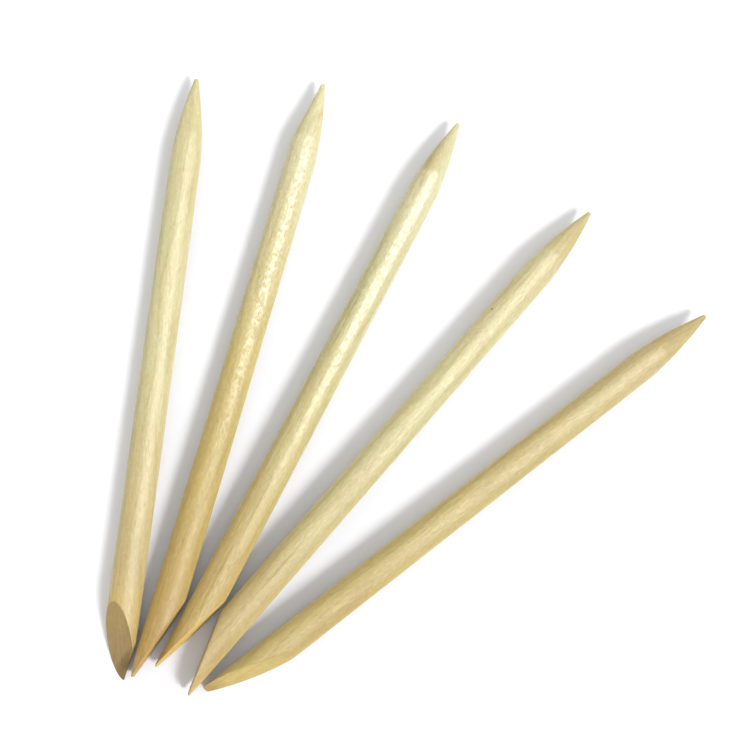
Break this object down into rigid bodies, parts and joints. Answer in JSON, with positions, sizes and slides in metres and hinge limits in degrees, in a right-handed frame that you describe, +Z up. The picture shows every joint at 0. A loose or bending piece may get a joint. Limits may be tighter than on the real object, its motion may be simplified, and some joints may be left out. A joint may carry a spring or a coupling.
{
  "type": "cuticle pusher",
  "caption": "Loose turned wooden cuticle pushers laid out as a fan, each with a sharpened point at one end and a slanting flat pushing face at the other.",
  "frame": {"origin": "centre of the fan's bounding box, on the surface the sticks lie on", "axes": "+Z up from that surface; +Y along the middle stick towards its sharpened point; +X to the right, towards the far right stick"},
  "size_m": [0.0714, 0.0794, 0.0037],
  "materials": {
    "pusher_far_left_wood": "lightly polished pale wood, matte where sanded",
    "pusher_left_wood": "lightly polished pale wood, matte where sanded",
    "pusher_middle_wood": "lightly polished pale wood, matte where sanded",
    "pusher_right_wood": "lightly polished pale wood, matte where sanded",
    "pusher_far_right_wood": "lightly polished pale wood, matte where sanded"
  },
  "bodies": {
    "pusher_far_left": {"pusher_far_left": "pusher_far_left_wood"},
    "pusher_left": {"pusher_left": "pusher_left_wood"},
    "pusher_middle": {"pusher_middle": "pusher_middle_wood"},
    "pusher_right": {"pusher_right": "pusher_right_wood"},
    "pusher_far_right": {"pusher_far_right": "pusher_far_right_wood"}
  },
  "joints": [
    {"name": "pusher_far_left_lift", "type": "slide", "parent": "pusher_middle", "child": "pusher_far_left", "axis": [0, 0, 1], "range_m": [0, 0.03]},
    {"name": "pusher_left_lift", "type": "slide", "parent": "pusher_middle", "child": "pusher_left", "axis": [0, 0, 1], "range_m": [0, 0.03]},
    {"name": "pusher_right_lift", "type": "slide", "parent": "pusher_middle", "child": "pusher_right", "axis": [0, 0, 1], "range_m": [0, 0.03]},
    {"name": "pusher_far_right_lift", "type": "slide", "parent": "pusher_middle", "child": "pusher_far_right", "axis": [0, 0, 1], "range_m": [0, 0.03]}
  ]
}
